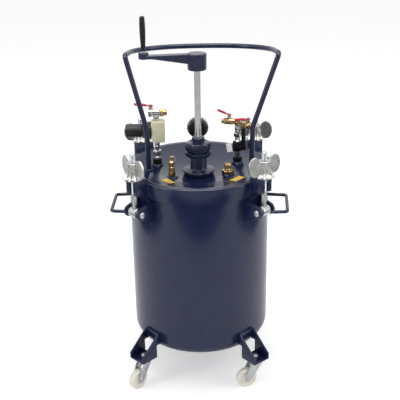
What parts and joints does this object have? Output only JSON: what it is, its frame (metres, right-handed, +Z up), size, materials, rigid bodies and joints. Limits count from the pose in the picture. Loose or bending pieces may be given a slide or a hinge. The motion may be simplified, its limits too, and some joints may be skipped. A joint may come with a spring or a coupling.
{
  "type": "pressure pot",
  "caption": "Lidded steel pressure pot on casters with swing-bolt clamps, hand-cranked agitator, hoop handle, air inlet regulator, outlet valves and gauge.",
  "frame": {"origin": "centre of the flat underside of the tank's bottom, on the tank's axis", "axes": "+Z up along the tank's axis, -Y towards the front, where the crank is worked and the gauge's back shows"},
  "size_m": [0.5187, 0.445, 1.0455],
  "materials": {
    "navy_enamel": "gloss enamel on steel",
    "cast_enamel": "gloss enamel on rough casting",
    "zinc": "bright zinc plate",
    "cast_zinc": "as cast",
    "chrome": "polished",
    "brass": "machined",
    "ivory_enamel": "satin enamel",
    "black_plastic": "moulded",
    "red_vinyl": "dipped vinyl",
    "wheel_plastic": "moulded",
    "tan_rubber": "moulded"
  },
  "bodies": {
    "pot": {"tank": "navy_enamel", "lid_gasket": "tan_rubber", "side_handle_left": "navy_enamel", "side_handle_right": "navy_enamel", "leg_bracket_front_left": "navy_enamel", "leg_bracket_front_right": "navy_enamel", "leg_bracket_back_left": "navy_enamel", "leg_bracket_back_right": "navy_enamel", "clamp_bracket_front_left": "navy_enamel", "clamp_bracket_front_right": "navy_enamel", "clamp_bracket_back_left": "navy_enamel", "clamp_bracket_back_right": "navy_enamel", "clevis_pin_front_left": "zinc", "clevis_pin_front_right": "zinc", "clevis_pin_back_left": "zinc", "clevis_pin_back_right": "zinc"},
    "lid": {"lid": "navy_enamel", "hoop_handle": "navy_enamel", "agitator_boss": "cast_enamel", "gland_nut": "cast_enamel", "gauge_case": "black_plastic", "inlet_riser": "chrome", "regulator_body": "ivory_enamel", "regulator_bonnet": "black_plastic", "inlet_valve": "chrome", "outlet_manifold": "chrome", "outlet_valve_a": "brass", "outlet_valve_b": "brass", "relief_valve": "brass", "filler_plug": "brass", "dip_tube": "zinc"},
    "crank": {"agitator_shaft": "chrome", "impeller": "chrome", "crank_arm": "cast_enamel"},
    "grip": {"crank_grip": "chrome"},
    "needle": {"gauge_needle": "red_vinyl"},
    "knob": {"regulator_knob": "black_plastic"},
    "inlet_lever": {"inlet_lever": "red_vinyl"},
    "outlet_lever_a": {"outlet_lever_a": "red_vinyl"},
    "outlet_lever_b": {"outlet_lever_b": "red_vinyl"},
    "bolt_front_left": {"swing_bolt_front_left": "zinc"},
    "washer_front_left": {"bolt_washer_front_left": "zinc"},
    "nut_front_left": {"wing_nut_front_left": "cast_zinc"},
    "fork_front_left": {"caster_fork_front_left": "zinc"},
    "wheel_front_left": {"caster_wheel_front_left": "wheel_plastic"},
    "bolt_front_right": {"swing_bolt_front_right": "zinc"},
    "washer_front_right": {"bolt_washer_front_right": "zinc"},
    "nut_front_right": {"wing_nut_front_right": "cast_zinc"},
    "fork_front_right": {"caster_fork_front_right": "zinc"},
    "wheel_front_right": {"caster_wheel_front_right": "wheel_plastic"},
    "bolt_back_left": {"swing_bolt_back_left": "zinc"},
    "washer_back_left": {"bolt_washer_back_left": "zinc"},
    "nut_back_left": {"wing_nut_back_left": "cast_zinc"},
    "fork_back_left": {"caster_fork_back_left": "zinc"},
    "wheel_back_left": {"caster_wheel_back_left": "wheel_plastic"},
    "bolt_back_right": {"swing_bolt_back_right": "zinc"},
    "washer_back_right": {"bolt_washer_back_right": "zinc"},
    "nut_back_right": {"wing_nut_back_right": "cast_zinc"},
    "fork_back_right": {"caster_fork_back_right": "zinc"},
    "wheel_back_right": {"caster_wheel_back_right": "wheel_plastic"}
  },
  "joints": [
    {"name": "lid_lift", "type": "slide", "parent": "pot", "child": "lid", "axis": [0, 0, 1], "range_m": [0, 0.5]},
    {"name": "crank_turn", "type": "hinge", "parent": "lid", "child": "crank", "pos_m": [0, 0, 0.6], "axis": [0, 0, 1], "continuous": true},
    {"name": "grip_turn", "type": "hinge", "parent": "crank", "child": "grip", "pos_m": [-0.145, 0, 0.86], "axis": [0, 0, 1], "continuous": true},
    {"name": "needle_turn", "type": "hinge", "parent": "lid", "child": "needle", "pos_m": [-0.001, 0.123, 0.595], "axis": [0, 1, 0], "range_deg": [0, 260], "stiffness_Nm_per_rad": 0.001},
    {"name": "knob_turn", "type": "hinge", "parent": "lid", "child": "knob", "pos_m": [-0.18, 0.05, 0.6105], "axis": [-1, 0, 0], "range_deg": [-720, 720]},
    {"name": "inlet_lever_turn", "type": "hinge", "parent": "lid", "child": "inlet_lever", "pos_m": [-0.134, 0.05, 0.68], "axis": [0, 0, 1], "range_deg": [-90, 0]},
    {"name": "outlet_lever_a_turn", "type": "hinge", "parent": "lid", "child": "outlet_lever_a", "pos_m": [0.09037, 0.06217, 0.648], "axis": [0, 0, 1], "range_deg": [0, 90]},
    {"name": "outlet_lever_b_turn", "type": "hinge", "parent": "lid", "child": "outlet_lever_b", "pos_m": [0.14441, 0.05115, 0.638], "axis": [0, 0, 1], "range_deg": [0, 90]},
    {"name": "bolt_swing_front_left", "type": "hinge", "parent": "pot", "child": "bolt_front_left", "pos_m": [-0.17409, -0.1652, 0.445], "axis": [-0.6884, 0.7254, 0], "range_deg": [-150, 0]},
    {"name": "washer_rise_front_left", "type": "slide", "parent": "bolt_front_left", "child": "washer_front_left", "axis": [0, 0, 1], "range_m": [0, 0.5]},
    {"name": "nut_turn_front_left", "type": "hinge", "parent": "washer_front_left", "child": "nut_front_left", "pos_m": [-0.17409, -0.1652, 0.5636], "axis": [0, 0, 1], "continuous": true},
    {"name": "caster_swivel_front_left", "type": "hinge", "parent": "pot", "child": "fork_front_left", "pos_m": [-0.16971, -0.16971, -0.02], "axis": [0, 0, 1], "continuous": true},
    {"name": "wheel_roll_front_left", "type": "hinge", "parent": "fork_front_left", "child": "wheel_front_left", "pos_m": [-0.18777, -0.18977, -0.07237], "axis": [-0.7431, 0.6691, 0], "continuous": true},
    {"name": "bolt_swing_front_right", "type": "hinge", "parent": "pot", "child": "bolt_front_right", "pos_m": [0.17409, -0.1652, 0.445], "axis": [-0.6884, -0.7254, 0], "range_deg": [-150, 0]},
    {"name": "washer_rise_front_right", "type": "slide", "parent": "bolt_front_right", "child": "washer_front_right", "axis": [0, 0, 1], "range_m": [0, 0.5]},
    {"name": "nut_turn_front_right", "type": "hinge", "parent": "washer_front_right", "child": "nut_front_right", "pos_m": [0.17409, -0.1652, 0.5636], "axis": [0, 0, 1], "continuous": true},
    {"name": "caster_swivel_front_right", "type": "hinge", "parent": "pot", "child": "fork_front_right", "pos_m": [0.15523, -0.18304, -0.02], "axis": [0, 0, 1], "continuous": true},
    {"name": "wheel_roll_front_right", "type": "hinge", "parent": "fork_front_right", "child": "wheel_front_right", "pos_m": [0.12915, -0.19003, -0.07237], "axis": [-0.2588, 0.9659, 0], "continuous": true},
    {"name": "bolt_swing_back_left", "type": "hinge", "parent": "pot", "child": "bolt_back_left", "pos_m": [-0.17409, 0.1652, 0.445], "axis": [0.6884, 0.7254, 0], "range_deg": [-150, 0]},
    {"name": "washer_rise_back_left", "type": "slide", "parent": "bolt_back_left", "child": "washer_back_left", "axis": [0, 0, 1], "range_m": [0, 0.5]},
    {"name": "nut_turn_back_left", "type": "hinge", "parent": "washer_back_left", "child": "nut_back_left", "pos_m": [-0.17409, 0.1652, 0.5636], "axis": [0, 0, 1], "continuous": true},
    {"name": "caster_swivel_back_left", "type": "hinge", "parent": "pot", "child": "fork_back_left", "pos_m": [-0.16971, 0.16971, -0.02], "axis": [0, 0, 1], "continuous": true},
    {"name": "wheel_roll_back_left", "type": "hinge", "parent": "fork_back_left", "child": "wheel_back_left", "pos_m": [-0.18238, 0.19354, -0.07237], "axis": [0.8829, 0.4695, 0], "continuous": true},
    {"name": "bolt_swing_back_right", "type": "hinge", "parent": "pot", "child": "bolt_back_right", "pos_m": [0.17409, 0.1652, 0.445], "axis": [0.6884, -0.7254, 0], "range_deg": [-150, 0]},
    {"name": "washer_rise_back_right", "type": "slide", "parent": "bolt_back_right", "child": "washer_back_right", "axis": [0, 0, 1], "range_m": [0, 0.5]},
    {"name": "nut_turn_back_right", "type": "hinge", "parent": "washer_back_right", "child": "nut_back_right", "pos_m": [0.17409, 0.1652, 0.5636], "axis": [0, 0, 1], "continuous": true},
    {"name": "caster_swivel_back_right", "type": "hinge", "parent": "pot", "child": "fork_back_right", "pos_m": [0.16971, 0.16971, -0.02], "axis": [0, 0, 1], "continuous": true},
    {"name": "wheel_roll_back_right", "type": "hinge", "parent": "fork_back_right", "child": "wheel_back_right", "pos_m": [0.18633, 0.19098, -0.07237], "axis": [0.788, -0.6157, 0], "continuous": true}
  ],
  "couplings": [
    {"joint": "washer_rise_front_left", "follows": "lid_lift", "ratio": 1},
    {"joint": "washer_rise_front_right", "follows": "lid_lift", "ratio": 1},
    {"joint": "washer_rise_back_left", "follows": "lid_lift", "ratio": 1},
    {"joint": "washer_rise_back_right", "follows": "lid_lift", "ratio": 1}
  ]
}
